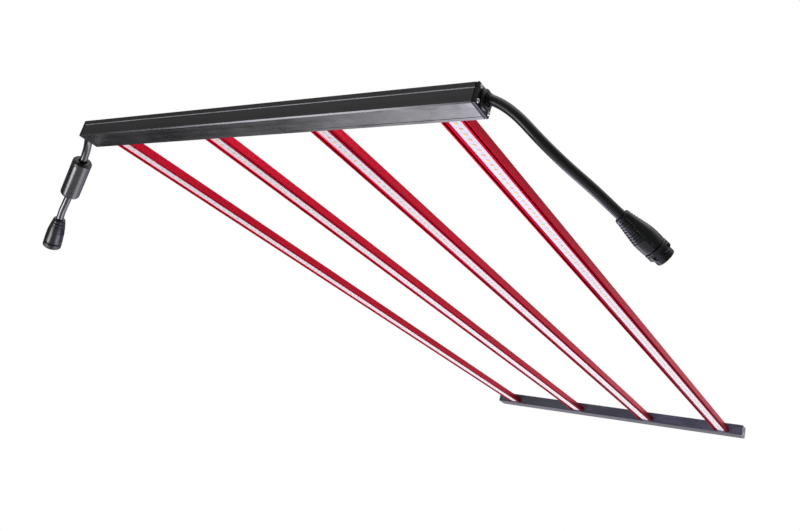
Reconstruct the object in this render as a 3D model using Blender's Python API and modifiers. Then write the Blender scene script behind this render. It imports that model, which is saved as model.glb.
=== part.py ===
"""LED grow light for a propagation rack: a slim driver housing, four finned light bars and a cross rail.

Frame: metres, +Z up. The origin is the middle of the driver housing's top face, where the light is hung.
X runs along the driver housing, Y runs along the light bars towards the cross rail.
The light is given downwards, out of the bars' lower faces. Two short cords leave the driver's ends.
"""

import math

import bmesh
import bpy
import numpy as np
from mathutils import Matrix, Vector

# ------------------------------------------------------------------ driving dimensions (metres)
MM = 0.001

DRIVER_LENGTH = 525.0 * MM      # over both end plates
DRIVER_DEPTH = 26.8 * MM
HEIGHT = 20.1 * MM              # driver housing and cross rail alike
WALL = 2.0 * MM
BOSS = 3.8 * MM                 # extra wall in the housing's corners, round the screw ports
PORT_INSET = 3.4 * MM           # screw port to the housing's faces
PORT_RADIUS = 1.5 * MM
PLATE_THICKNESS = 2.4 * MM
GASKET_THICKNESS = 0.8 * MM
SEAM = 0.25 * MM                # gap between touching pieces

BAR_CENTRE_X = 4.6 * MM         # middle of the bars and of the cross rail
BAR_PITCH = 147.6 * MM
BAR_COUNT = 4
BAR_WIDTH = 27.4 * MM
BAR_BOTTOM = -17.15 * MM
BAR_TOP = -8.35 * MM
BAR_START = 15.7 * MM           # Y of the bars' near ends
RAIL_FRONT = 1164.9 * MM        # Y of the cross rail's front face
RAIL_LENGTH = 519.4 * MM
RAIL_DEPTH = 29.0 * MM
RAIL_CAP = 2.4 * MM

BOARD_WIDTH = 12.1 * MM
BOARD_THICKNESS = 1.2 * MM
BOARD_RECESS = 0.7 * MM         # the light board's face above the bar's lower face
BOARD_START = 16.0 * MM
BOLT_RADIUS = 1.1 * MM
BOLT_Z = -11.5 * MM
LEAD_RADIUS = 0.9 * MM
LEAD_Z = -16.1 * MM
LEAD_OFFSET = 3.0 * MM

CORD_RADIUS = 4.55 * MM
GLAND_RADIUS = 9.3 * MM

RING_TURN = 45.0                # degrees a lock ring turns

# routes of the two cords: points on the centre line, in millimetres
RIGHT_EXIT = (0.9272, 0.0083, -0.3745)      # the way the right gland's rubber nose points
RIGHT_ROUTE = [
    (268.6, 0.0, -10.05), (279.65, 0.6, -15.4), (289.85, 2.3, -22.0), (299.15, 5.3, -29.45), (307.65, 9.75, -37.1),
    (315.75, 15.75, -44.15), (323.6, 22.9, -50.35), (330.45, 30.05, -55.3), (337.9, 38.55, -60.15), (345.2, 47.4, -64.6),
    (352.2, 56.45, -69.1), (359.25, 65.3, -73.95), (366.55, 73.75, -79.1),
]
LEFT_EXIT = (-0.762, 0.6476, 0.0)           # the way the left gland's angled barrel points
LEFT_ROUTE = [
    (-273.2, 4.08, -10.05), (-282.85, 12.35, -12.1), (-291.15, 19.25, -17.05), (-299.75, 25.45, -24.4), (-308.4, 30.9, -32.3),
    (-316.5, 35.75, -39.6), (-325.2, 40.9, -47.65), (-333.15, 45.6, -55.15), (-341.7, 50.8, -63.35), (-350.05, 55.7, -71.9),
    (-357.45, 59.75, -80.3), (-364.55, 64.8, -89.8),
]
FERRITE_TOP_ARC = 45.6 * MM     # along the left cord
FERRITE_LENGTH = 53.5 * MM
FERRITE_RADIUS = 11.7 * MM

# ------------------------------------------------------------------ a clean start
for old in list(bpy.data.objects):
    bpy.data.objects.remove(old, do_unlink=True)

PARTS = bpy.data.collections.new("led_grow_light")
CUTTERS = bpy.data.collections.new("cutters")
bpy.context.scene.collection.children.link(PARTS)
bpy.context.scene.collection.children.link(CUTTERS)


# ------------------------------------------------------------------ materials
def material(name, colour, roughness, metallic=0.0):
    made = bpy.data.materials.new(name)
    made.use_nodes = True
    shader = made.node_tree.nodes["Principled BSDF"]
    shader.inputs["Base Color"].default_value = (*colour, 1.0)
    shader.inputs["Roughness"].default_value = roughness
    shader.inputs["Metallic"].default_value = metallic
    made.diffuse_color = (*colour, 1.0)
    return made


BLACK_ANODISED = material("black_anodised", (0.028, 0.028, 0.030), 0.42, 0.7)
RED_ANODISED = material("red_anodised", (0.46, 0.012, 0.030), 0.34, 0.8)
WHITE_BOARD = material("white_solder_mask", (0.80, 0.82, 0.88), 0.45)
BLACK_RUBBER = material("black_rubber", (0.018, 0.018, 0.019), 0.62)
BLACK_PLASTIC = material("black_plastic", (0.022, 0.023, 0.026), 0.38)
BRIGHT_STEEL = material("bright_steel", (0.62, 0.62, 0.64), 0.25, 1.0)
GREEN_BOARD = material("green_board", (0.03, 0.16, 0.06), 0.5)
DARK_FERRITE = material("dark_ferrite", (0.05, 0.05, 0.055), 0.6)
COPPER_TAPE = material("copper_tape", (0.75, 0.55, 0.15), 0.4, 0.3)
LEAD_SLEEVE = material("lead_sleeve", (0.5, 0.02, 0.02), 0.5)


# ------------------------------------------------------------------ helpers
def finish_object(obj, name, mat, smooth_angle=None, collection=None):
    obj.name = name
    obj.data.name = name
    for coll in list(obj.users_collection):
        coll.objects.unlink(obj)
    (collection or PARTS).objects.link(obj)
    obj.data.materials.clear()
    obj.data.materials.append(mat)
    if smooth_angle is not None and obj.type == "MESH":
        obj.data.shade_smooth()
        obj.data.set_sharp_from_angle(angle=math.radians(smooth_angle))
    return obj


def box_mesh(name, low, high):
    mesh = bpy.data.meshes.new(name)
    work = bmesh.new()
    bmesh.ops.create_cube(work, size=1.0)
    for vert in work.verts:
        vert.co = Vector(
            tuple(low[k] + (vert.co[k] + 0.5) * (high[k] - low[k]) for k in range(3))
        )
    work.to_mesh(mesh)
    work.free()
    return mesh


def box(name, low, high, mat, bevel=0.0):
    """A block between two corners; the object's origin is the block's middle."""
    middle = Vector([(low[k] + high[k]) / 2 for k in range(3)])
    half = [(high[k] - low[k]) / 2 for k in range(3)]
    mesh = box_mesh(name, [-h for h in half], half)
    obj = bpy.data.objects.new(name, mesh)
    obj.location = middle
    PARTS.objects.link(obj)
    finish_object(obj, name, mat)
    if bevel:
        add_bevel(obj, bevel)
    return obj


def add_bevel(obj, width, segments=1, angle=40.0):
    mod = obj.modifiers.new("edge", "BEVEL")
    mod.width = width
    mod.segments = segments
    mod.limit_method = "ANGLE"
    mod.angle_limit = math.radians(angle)
    return mod


def cutter(obj):
    obj.hide_render = True
    obj.display_type = "WIRE"
    for coll in list(obj.users_collection):
        coll.objects.unlink(obj)
    CUTTERS.objects.link(obj)
    return obj


def cylinder(name, radius, start, end, mat, sides=16, as_cutter=False):
    start, end = Vector(start), Vector(end)
    mesh = bpy.data.meshes.new(name)
    work = bmesh.new()
    bmesh.ops.create_cone(
        work, cap_ends=True, segments=sides, radius1=radius, radius2=radius, depth=(end - start).length
    )
    work.to_mesh(mesh)
    work.free()
    obj = bpy.data.objects.new(name, mesh)
    obj.rotation_mode = "QUATERNION"
    obj.rotation_quaternion = (end - start).to_track_quat("Z", "Y")
    obj.location = (start + end) / 2
    PARTS.objects.link(obj)
    finish_object(obj, name, mat)
    if as_cutter:
        cutter(obj)
    return obj


def block_cutter(name, low, high):
    return cutter(box(name, low, high, BLACK_PLASTIC))


def boolean(obj, other, operation="DIFFERENCE"):
    mod = obj.modifiers.new(other.name, "BOOLEAN")
    mod.operation = operation
    mod.solver = "EXACT"
    mod.object = other
    return mod


def turned(name, profile, mat, frame=None, steps=32, closed=False, as_cutter=False, smooth=True):
    """A turned piece. The profile's (radius, height) points run down its outer side; closed ones go on up the bore."""
    mesh = bpy.data.meshes.new(name)
    count = len(profile)
    edges = [(i, i + 1) for i in range(count - 1)]
    if closed:
        edges.append((count - 1, 0))
    mesh.from_pydata([(r, 0.0, h) for r, h in profile], edges, [])
    obj = bpy.data.objects.new(name, mesh)
    PARTS.objects.link(obj)
    finish_object(obj, name, mat)
    mod = obj.modifiers.new("turn", "SCREW")
    mod.axis = "Z"
    mod.angle = 2 * math.pi
    mod.steps = steps
    mod.render_steps = steps
    mod.use_merge_vertices = True
    mod.merge_threshold = 0.00001
    mod.use_smooth_shade = smooth
    if frame is not None:
        obj.matrix_world = frame
    if as_cutter:
        cutter(obj)
    return obj


def extrusion(name, outlines, length, mat, frame):
    """A flat outline with its holes, drawn in local X and Y, drawn out along local Z, centred."""
    curve = bpy.data.curves.new(name, "CURVE")
    curve.dimensions = "2D"
    curve.fill_mode = "BOTH"
    curve.extrude = length / 2
    curve.resolution_u = 1
    curve.render_resolution_u = 0
    for outline in outlines:
        spline = curve.splines.new("POLY")
        spline.points.add(len(outline) - 1)
        for point, (x, y) in zip(spline.points, outline):
            point.co = (x, y, 0.0, 1.0)
        spline.use_cyclic_u = True
    flat = bpy.data.objects.new(name + "_outline", curve)
    CUTTERS.objects.link(flat)
    flat.matrix_world = frame
    bpy.context.view_layer.update()
    made = bpy.data.meshes.new_from_object(flat.evaluated_get(bpy.context.evaluated_depsgraph_get()))
    work = bmesh.new()
    work.from_mesh(made)
    bmesh.ops.remove_doubles(work, verts=work.verts, dist=0.000002)
    bmesh.ops.recalc_face_normals(work, faces=work.faces)
    work.to_mesh(made)
    work.free()
    obj = bpy.data.objects.new(name, made)
    PARTS.objects.link(obj)
    obj.matrix_world = flat.matrix_world.copy()
    bpy.data.objects.remove(flat, do_unlink=True)
    return finish_object(obj, name, mat)


def regular(radius, centre, sides=10, turn=0.0):
    return [
        (
            centre[0] + radius * math.cos(turn + 2 * math.pi * k / sides),
            centre[1] + radius * math.sin(turn + 2 * math.pi * k / sides),
        )
        for k in range(sides)
    ]


def along(origin, direction, up=(0.0, 0.0, 1.0)):
    """A frame whose Z axis runs along direction."""
    z = Vector(direction).normalized()
    x = Vector(up).cross(z)
    if x.length < 1e-6:
        x = Vector((1.0, 0.0, 0.0))
    x.normalize()
    y = z.cross(x)
    rotation = Matrix((x, y, z)).transposed().to_4x4()
    return Matrix.Translation(Vector(origin)) @ rotation


# local X -> world Y, local Y -> world Z, local Z -> world X
ALONG_X = Matrix(((0, 0, 1, 0), (1, 0, 0, 0), (0, 1, 0, 0), (0, 0, 0, 1)))
# local X -> world X, local Y -> world Z, local Z -> world -Y
ALONG_Y = Matrix(((1, 0, 0, 0), (0, 0, -1, 0), (0, 1, 0, 0), (0, 0, 0, 1)))


def smooth_route(route, count, start=None, end=None):
    """Points evenly spaced on a cubic through the route, with given end directions."""
    knots = np.array(route, dtype=float) * MM
    chord = np.concatenate([[0.0], np.cumsum(np.linalg.norm(np.diff(knots, axis=0), axis=1))])
    n = len(knots)
    system = np.zeros((n, n))
    right = np.zeros((n, 3))
    for i in range(1, n - 1):
        before, after = chord[i] - chord[i - 1], chord[i + 1] - chord[i]
        system[i, i - 1] = after
        system[i, i] = 2 * (before + after)
        system[i, i + 1] = before
        right[i] = 3 * (
            after * (knots[i] - knots[i - 1]) / before + before * (knots[i + 1] - knots[i]) / after
        )
    for row, near, given in ((0, 1, start), (n - 1, n - 2, end)):
        if given is None:
            system[row, row], system[row, near] = 2.0, 1.0
            right[row] = 3 * (knots[near] - knots[row]) / (chord[near] - chord[row])
        else:
            system[row, row] = 1.0
            right[row] = np.array(given) / np.linalg.norm(given)
    slopes = np.linalg.solve(system, right)
    fine = []
    for i in range(n - 1):
        span = chord[i + 1] - chord[i]
        for t in np.linspace(0, 1, 40, endpoint=i == n - 2):
            fine.append(
                (2 * t**3 - 3 * t**2 + 1) * knots[i]
                + (t**3 - 2 * t**2 + t) * span * slopes[i]
                + (-2 * t**3 + 3 * t**2) * knots[i + 1]
                + (t**3 - t**2) * span * slopes[i + 1]
            )
    fine = np.array(fine)
    arc = np.concatenate([[0.0], np.cumsum(np.linalg.norm(np.diff(fine, axis=0), axis=1))])
    wanted = np.linspace(0, arc[-1], count)
    points = np.stack([np.interp(wanted, arc, fine[:, k]) for k in range(3)], axis=1)
    return points, arc[-1]


def tube(name, points, radius, mat, resolution=2):
    curve = bpy.data.curves.new(name, "CURVE")
    curve.dimensions = "3D"
    curve.bevel_depth = radius
    curve.bevel_resolution = resolution
    curve.use_fill_caps = True
    curve.resolution_u = 1
    curve.render_resolution_u = 0
    spline = curve.splines.new("POLY")
    spline.points.add(len(points) - 1)
    for point, where in zip(spline.points, points):
        point.co = (*[float(v) for v in where], 1.0)
    obj = bpy.data.objects.new(name, curve)
    PARTS.objects.link(obj)
    obj.data.materials.append(mat)
    return obj


def meshed(obj, weld=0.000005):
    """The curve object made a mesh object, so that it can be cut or joined."""
    bpy.context.view_layer.update()
    made = bpy.data.meshes.new_from_object(obj.evaluated_get(bpy.context.evaluated_depsgraph_get()))
    work = bmesh.new()
    work.from_mesh(made)
    bmesh.ops.remove_doubles(work, verts=work.verts, dist=weld)
    bmesh.ops.recalc_face_normals(work, faces=work.faces)
    work.to_mesh(made)
    work.free()
    name, mat = obj.name, obj.data.materials[0]
    fresh = bpy.data.objects.new(name + "_solid", made)
    PARTS.objects.link(fresh)
    fresh.matrix_world = obj.matrix_world.copy()
    bpy.data.objects.remove(obj, do_unlink=True)
    return finish_object(fresh, name, mat)


def screw(name, start, direction, shank, length, head_radius, head_height, mat=BRIGHT_STEEL):
    """A pan-head screw. start is under its head, direction runs down the shank."""
    frame = along(start, [-v for v in direction])
    profile = [
        (0.0, head_height),
        (head_radius * 0.72, head_height),
        (head_radius, head_height * 0.55),
        (head_radius, 0.0),
        (shank, 0.0),
        (shank, -length + shank * 0.6),
        (shank * 0.45, -length),
        (0.0, -length),
    ]
    return turned(name, profile, mat, frame, steps=12)


# ------------------------------------------------------------------ driver housing
half_depth = DRIVER_DEPTH / 2
plate_out = DRIVER_LENGTH / 2
plate_in = plate_out - PLATE_THICKNESS
gasket_out = plate_in - SEAM
gasket_in = gasket_out - GASKET_THICKNESS
housing_end = gasket_in - SEAM

ports = [
    (y, z)
    for y in (-half_depth + PORT_INSET, half_depth - PORT_INSET)
    for z in (-HEIGHT + PORT_INSET, -PORT_INSET)
]

g = 0.45 * MM  # depth of the decorative grooves
outer = [
    (-half_depth + 1.1 * MM, -HEIGHT),
    (half_depth - 5.2 * MM, -HEIGHT),
    (half_depth - 5.0 * MM, -HEIGHT + g),
    (half_depth - 4.5 * MM, -HEIGHT + g),
    (half_depth - 4.3 * MM, -HEIGHT),
    (half_depth - 0.5 * MM, -HEIGHT),
    (half_depth, -HEIGHT + 0.5 * MM),
    (half_depth, -0.5 * MM),
    (half_depth - 0.5 * MM, 0.0),
    (-half_depth + 0.4 * MM, 0.0),
    (-half_depth, -0.4 * MM),
    (-half_depth, -5.2 * MM),
    (-half_depth + g, -5.4 * MM),
    (-half_depth + g, -6.0 * MM),
    (-half_depth, -6.2 * MM),
    (-half_depth, -HEIGHT + 1.1 * MM),
]
iy, iz = half_depth - WALL, WALL
by = half_depth - WALL - BOSS
inner = [
    (-by, -HEIGHT + iz), (by, -HEIGHT + iz), (by, -HEIGHT + iz + BOSS), (iy, -HEIGHT + iz + BOSS),
    (iy, -iz - BOSS), (by, -iz - BOSS), (by, -iz), (-by, -iz), (-by, -iz - BOSS), (-iy, -iz - BOSS),
    (-iy, -HEIGHT + iz + BOSS), (-by, -HEIGHT + iz + BOSS),
]
housing = extrusion(
    "driver_housing",
    [outer, inner] + [regular(PORT_RADIUS, p, 8, math.pi / 8) for p in ports],
    2 * housing_end, BLACK_ANODISED, ALONG_X,
)

bar_xs = [BAR_CENTRE_X + (i - (BAR_COUNT - 1) / 2) * BAR_PITCH for i in range(BAR_COUNT)]
for i, x in enumerate(bar_xs):
    for tag, dx, z, r, y0 in (
        ("bolt", 0.0, BOLT_Z, BOLT_RADIUS + 0.4 * MM, half_depth - WALL - 1.0 * MM),
        ("lead", LEAD_OFFSET, LEAD_Z, LEAD_RADIUS + 0.5 * MM, by - 1.0 * MM),
    ):
        boolean(
            housing,
            cylinder(f"cut_{tag}_{i + 1}", r, (x + dx, y0, z), (x + dx, half_depth + 1.0 * MM, z),
                     BLACK_PLASTIC, 10, True),
        )

# ------------------------------------------------------------------ end plates, gaskets, screws
for side, sign in (("left", -1.0), ("right", 1.0)):
    low = (min(sign * plate_in, sign * plate_out), -half_depth, -HEIGHT)
    high = (max(sign * plate_in, sign * plate_out), half_depth, 0.0)
    plate = box(f"end_plate_{side}", low, high, BLACK_ANODISED, 0.35 * MM)
    low = (min(sign * gasket_in, sign * gasket_out), -half_depth + 0.4 * MM, -HEIGHT + 0.4 * MM)
    high = (max(sign * gasket_in, sign * gasket_out), half_depth - 0.4 * MM, -0.4 * MM)
    gasket = box(f"end_gasket_{side}", low, high, BLACK_RUBBER)
    hole_r = 5.6 * MM if side == "right" else 4.8 * MM
    cable_hole = cylinder(
        f"cut_cable_{side}", hole_r, (sign * (gasket_in - 0.002), 0.0, -HEIGHT / 2),
        (sign * (plate_out + 0.002), 0.0, -HEIGHT / 2), BLACK_PLASTIC, 20, True,
    )
    boolean(plate, cable_hole)
    boolean(gasket, cable_hole)
    for k, (y, z) in enumerate(ports):
        hole = cylinder(
            f"cut_screw_{side}_{k + 1}", 1.45 * MM, (sign * (gasket_in - 0.002), y, z),
            (sign * (plate_out + 0.002), y, z), BLACK_PLASTIC, 10, True,
        )
        boolean(plate, hole)
        boolean(gasket, hole)
        screw(
            f"end_screw_{side}_{k + 1}", (sign * (plate_out + 0.25 * MM), y, z), (-sign, 0.0, 0.0),
            BOLT_RADIUS, 11.0 * MM, 1.9 * MM, 1.3 * MM,
        )

# ------------------------------------------------------------------ inside the driver
deck = -HEIGHT + WALL + BOSS + 0.3 * MM
box("driver_board", (-0.215, -9.1 * MM, deck), (0.215, 9.1 * MM, deck + 1.6 * MM), GREEN_BOARD)
box("driver_transformer", (0.020, -7.2 * MM, deck + 1.9 * MM), (0.052, 7.2 * MM, deck + 9.6 * MM), COPPER_TAPE, 0.8 * MM)
cylinder("driver_capacitor", 3.6 * MM, (-0.060, 0.0, deck + 5.6 * MM), (-0.032, 0.0, deck + 5.6 * MM), BLACK_PLASTIC, 16)

# ------------------------------------------------------------------ right cable gland
gland_frame = along((plate_out, 0.0, -HEIGHT / 2), (1.0, 0.0, 0.0))
gland = turned(
    "gland_body_right",
    [
        (6.0 * MM, 3.4 * MM), (8.3 * MM, 3.4 * MM), (GLAND_RADIUS, 2.6 * MM), (GLAND_RADIUS, 0.25 * MM),
        (5.1 * MM, 0.25 * MM), (5.1 * MM, -9.0 * MM), (3.6 * MM, -9.0 * MM), (3.6 * MM, 0.9 * MM), (6.0 * MM, 0.9 * MM),
    ],
    BLACK_PLASTIC, gland_frame, 32, True,
)
nose = Vector(RIGHT_EXIT).normalized()
turned(
    "gland_seal_right",
    [(r * MM, z * MM) for r, z in (
        (0.0, -0.3), (4.7, -0.3), (5.05, -1.0), (5.2, -2.5), (4.9, -3.0), (4.1, -3.5), (2.7, -4.1), (0.0, -4.3))],
    BLACK_RUBBER, along(Vector(RIGHT_ROUTE[0]) * MM, nose), 32,
)

# ------------------------------------------------------------------ left angled gland
KNUCKLE = 5.9 * MM              # the knuckle's middle, out from the end plate
elbow = turned(
    "gland_elbow_left",
    [(r * MM, z * MM) for r, z in (
        (0.0, 11.6), (2.2, 11.16), (4.03, 9.93), (5.27, 8.08), (5.7, 5.9), (5.27, 3.72), (4.75, 2.85), (8.0, 2.6), (8.9, 2.2),
        (9.3, 1.5), (9.3, 0.25), (4.5, 0.25), (4.5, -9.0), (0.0, -9.0))],
    BLACK_PLASTIC, along((-plate_out, 0.0, -HEIGHT / 2), (-1.0, 0.0, 0.0)), 28,
)
left_nose = Vector(LEFT_EXIT).normalized()
knuckle = Vector((-plate_out - KNUCKLE, 0.0, -HEIGHT / 2))
barrel_end = (Vector(LEFT_ROUTE[0]) * MM - knuckle).dot(left_nose) - 0.35 * MM
barrel = turned(
    "join_barrel",
    [(0.0, barrel_end), (4.8 * MM, barrel_end), (5.3 * MM, barrel_end - 0.5 * MM), (5.3 * MM, 0.0), (0.0, 0.0)],
    BLACK_PLASTIC, along(knuckle, left_nose), 28, as_cutter=True,
)
boolean(elbow, barrel, "UNION")

# ------------------------------------------------------------------ light bars
hw = BAR_WIDTH / 2
zb, zt = BAR_BOTTOM, BAR_TOP
half = [(BOARD_WIDTH / 2 + 0.25 * MM, zb + BOARD_RECESS + BOARD_THICKNESS + 0.25 * MM),
        (BOARD_WIDTH / 2 + 0.25 * MM, zb + 0.5 * MM), (BOARD_WIDTH / 2 + 0.9 * MM, zb),
        (9.0 * MM, zb), (9.3 * MM, zb + 0.3 * MM), (9.3 * MM, zb + 3.2 * MM), (11.5 * MM, zb + 3.2 * MM),
        (11.5 * MM, zb + 0.3 * MM), (11.8 * MM, zb), (hw - 0.3 * MM, zb), (hw, zb + 0.3 * MM)]
for k in range(4):  # fine ribs along the side
    z = zb + (1.5 + 1.75 * k) * MM
    half += [(hw, z), (hw - 0.3 * MM, z + 0.25 * MM), (hw - 0.3 * MM, z + 0.6 * MM), (hw, z + 0.85 * MM)]
half += [(hw, zt - 0.4 * MM), (hw - 0.4 * MM, zt), (9.1 * MM, zt), (9.1 * MM, zb + 4.8 * MM), (7.3 * MM, zb + 4.8 * MM),
         (7.3 * MM, zt), (6.1 * MM, zt), (6.1 * MM, zb + 3.9 * MM), (4.3 * MM, zb + 3.9 * MM), (4.3 * MM, zt)]
section = half + [(-x, z) for x, z in reversed(half)]
bar_length = RAIL_FRONT - SEAM - BAR_START
bar_mesh = None
for i, x in enumerate(bar_xs):
    frame = Matrix.Translation((x, BAR_START + bar_length / 2, 0.0)) @ ALONG_Y
    if bar_mesh is None:
        bar = extrusion(f"bar_heatsink_{i + 1}", [section, regular(1.5 * MM, (0.0, BOLT_Z), 10, math.pi / 10)],
                        bar_length, RED_ANODISED, frame)
        bar_mesh = bar.data
    else:
        bar = bpy.data.objects.new(f"bar_heatsink_{i + 1}", bar_mesh)
        PARTS.objects.link(bar)
        bar.matrix_world = frame
    board_low = zb + BOARD_RECESS
    box(f"led_board_{i + 1}", (x - BOARD_WIDTH / 2, BOARD_START, board_low),
        (x + BOARD_WIDTH / 2, RAIL_FRONT - 1.0 * MM, board_low + BOARD_THICKNESS), WHITE_BOARD)
    pad = box(f"bar_seal_{i + 1}", (x - 12.9 * MM, half_depth + 0.3 * MM, zb + 0.4 * MM),
              (x + 12.9 * MM, BAR_START - 0.3 * MM, zt - 0.4 * MM), BLACK_RUBBER)
    boolean(pad, cylinder(f"cut_pad_bolt_{i + 1}", 1.5 * MM, (x, half_depth - 0.001, BOLT_Z), (x, BAR_START + 0.001, BOLT_Z), BLACK_PLASTIC, 10, True))
    boolean(pad, cylinder(f"cut_pad_lead_{i + 1}", 1.4 * MM, (x + LEAD_OFFSET, half_depth - 0.001, LEAD_Z),
                          (x + LEAD_OFFSET, BAR_START + 0.001, LEAD_Z), BLACK_PLASTIC, 10, True))
    cylinder(f"bar_lead_{i + 1}", LEAD_RADIUS, (x + LEAD_OFFSET, 5.0 * MM, LEAD_Z), (x + LEAD_OFFSET, BOARD_START - 0.3 * MM, LEAD_Z), LEAD_SLEEVE, 10)
    screw(f"driver_bolt_{i + 1}", (x, half_depth - WALL - 0.3 * MM, BOLT_Z), (0.0, 1.0, 0.0), BOLT_RADIUS, 13.0 * MM, 2.0 * MM, 1.3 * MM)
    screw(f"rail_bolt_{i + 1}", (x, RAIL_FRONT + RAIL_DEPTH + 0.25 * MM, BOLT_Z), (0.0, -1.0, 0.0), BOLT_RADIUS, RAIL_DEPTH + 10.0 * MM, 2.6 * MM, 1.5 * MM)

# ------------------------------------------------------------------ cross rail
rw = 1.8 * MM
slot_low, slot_high = 11.5 * MM, 17.5 * MM
rail_outer = [
    (0.6 * MM, -HEIGHT), (RAIL_DEPTH - 0.6 * MM, -HEIGHT), (RAIL_DEPTH, -HEIGHT + 0.6 * MM), (RAIL_DEPTH, -0.6 * MM),
    (RAIL_DEPTH - 0.6 * MM, 0.0), (slot_high, 0.0), (slot_high, -2.6 * MM), (slot_low, -2.6 * MM), (slot_low, 0.0),
    (0.6 * MM, 0.0), (0.0, -0.6 * MM), (0.0, -HEIGHT + 0.6 * MM),
]
rail_inner = [
    (rw, -HEIGHT + rw), (RAIL_DEPTH - rw, -HEIGHT + rw), (RAIL_DEPTH - rw, -rw - 2.6 * MM), (rw, -rw - 2.6 * MM),
]
rail_body = RAIL_LENGTH - 2 * (RAIL_CAP + SEAM)
rail = extrusion(
    "cross_rail", [rail_outer, rail_inner], rail_body, BLACK_ANODISED,
    Matrix.Translation((BAR_CENTRE_X, RAIL_FRONT, 0.0)) @ ALONG_X,
)
for i, x in enumerate(bar_xs):
    boolean(rail, cylinder(f"cut_rail_{i + 1}", 1.5 * MM, (x, RAIL_FRONT - 0.002, BOLT_Z), (x, RAIL_FRONT + RAIL_DEPTH + 0.002, BOLT_Z), BLACK_PLASTIC, 10, True))

# the end caps plug into the rail, and a screw through the rail's floor side holds each
for side, sign in (("left", -1.0), ("right", 1.0)):
    x_out = BAR_CENTRE_X + sign * RAIL_LENGTH / 2
    x_in = x_out - sign * RAIL_CAP
    cap = extrusion(
        f"rail_cap_{side}", [rail_outer], RAIL_CAP, BLACK_PLASTIC,
        Matrix.Translation(((x_out + x_in) / 2, RAIL_FRONT, 0.0)) @ ALONG_X,
    )
    plug_low = (min(x_in - sign * 9.0 * MM, x_in + sign * 0.5 * MM), RAIL_FRONT + rw + 0.4 * MM, -HEIGHT + rw + 0.4 * MM)
    plug_high = (max(x_in - sign * 9.0 * MM, x_in + sign * 0.5 * MM), RAIL_FRONT + RAIL_DEPTH - rw - 0.4 * MM, -rw - 3.0 * MM)
    boolean(cap, block_cutter(f"join_plug_{side}", plug_low, plug_high), "UNION")
    screw_y, screw_z = RAIL_FRONT + 8.0 * MM, -HEIGHT + 4.6 * MM
    boolean(cap, cylinder(f"cut_cap_{side}", 1.45 * MM, (x_out + sign * 0.002, screw_y, screw_z), (x_out - sign * 0.014, screw_y, screw_z), BLACK_PLASTIC, 10, True))
    screw(f"rail_cap_screw_{side}", (x_out + sign * 0.25 * MM, screw_y, screw_z), (-sign, 0.0, 0.0), BOLT_RADIUS, 9.0 * MM, 2.1 * MM, 1.3 * MM)

# ------------------------------------------------------------------ cords
right_points, right_length = smooth_route(RIGHT_ROUTE, 18, start=RIGHT_EXIT)
left_points, left_length = smooth_route(LEFT_ROUTE, 18, start=LEFT_EXIT)
right_lead_in = right_points[0] + np.array(tuple(nose)) * 1.5 * MM
left_lead_in = left_points[0] + np.array(tuple(left_nose)) * 1.5 * MM
tube("cord_right", [right_points[0], right_lead_in, *right_points[1:]], CORD_RADIUS, BLACK_RUBBER, 3)
tube("cord_left", [left_points[0], left_lead_in, *left_points[1:]], CORD_RADIUS, BLACK_RUBBER, 3)

# ------------------------------------------------------------------ right connector
fine_right, _ = smooth_route(RIGHT_ROUTE, 400, start=RIGHT_EXIT)
right_axis = Vector(fine_right[-1] - fine_right[-6]).normalized()
right_back = Vector(fine_right[-1]) + right_axis * 0.3 * MM
right_frame = along(right_back, right_axis)
turned(
    "connector_right_body",
    [(r * MM, z * MM) for r, z in (
        (0.0, 36.3), (9.9, 36.3), (10.35, 35.9), (10.5, 30.0), (10.45, 24.5), (10.2, 22.1), (9.4, 17.4), (8.6, 12.6),
        (7.8, 7.9), (7.0, 3.2), (6.6, 0.5), (6.1, 0.0), (0.0, 0.0))],
    BLACK_PLASTIC, right_frame, 32,
)
insert = turned(
    "connector_right_insert",
    [(r * MM, z * MM) for r, z in (
        (0.0, 42.8), (7.1, 42.8), (7.1, 50.2), (8.2, 50.2), (8.55, 49.8), (8.55, 44.9), (7.6, 44.7), (7.6, 36.6),
        (0.0, 36.6))],
    BLACK_PLASTIC, right_frame, 32,
)
for k in range(3):
    a = math.radians(90 + 120 * k)
    pin_x, pin_y = 4.7 * MM * math.cos(a), 4.7 * MM * math.sin(a)
    boolean(insert, cylinder(f"join_pin_{k + 1}", 0.75 * MM, right_frame @ Vector((pin_x, pin_y, 42.0 * MM)),
                             right_frame @ Vector((pin_x, pin_y, 46.6 * MM)), BLACK_PLASTIC, 10, True), "UNION")

ring_middle = 40.6 * MM
ring_frame = right_frame @ Matrix.Translation((0.0, 0.0, ring_middle))
ring_right = turned(
    "connector_right_ring",
    [(r * MM, z * MM) for r, z in (
        (9.8, 3.85), (10.4, 3.2), (10.4, -3.2), (9.9, -3.75), (8.0, -3.75), (8.0, 3.85))],
    BLACK_PLASTIC, ring_frame, 32, True,
)
for k in range(8):
    a = 2 * math.pi * (k + 0.5) / 8
    notch = box(f"cut_notch_{k + 1}", (-0.9 * MM, -1.2 * MM, -2.0 * MM), (0.9 * MM, 1.2 * MM, 2.0 * MM), BLACK_PLASTIC)
    cutter(notch)
    notch.matrix_world = ring_frame @ Matrix.Rotation(a, 4, "Z") @ Matrix.Translation((10.4 * MM, 0.0, 2.6 * MM))
    boolean(ring_right, notch)

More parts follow.
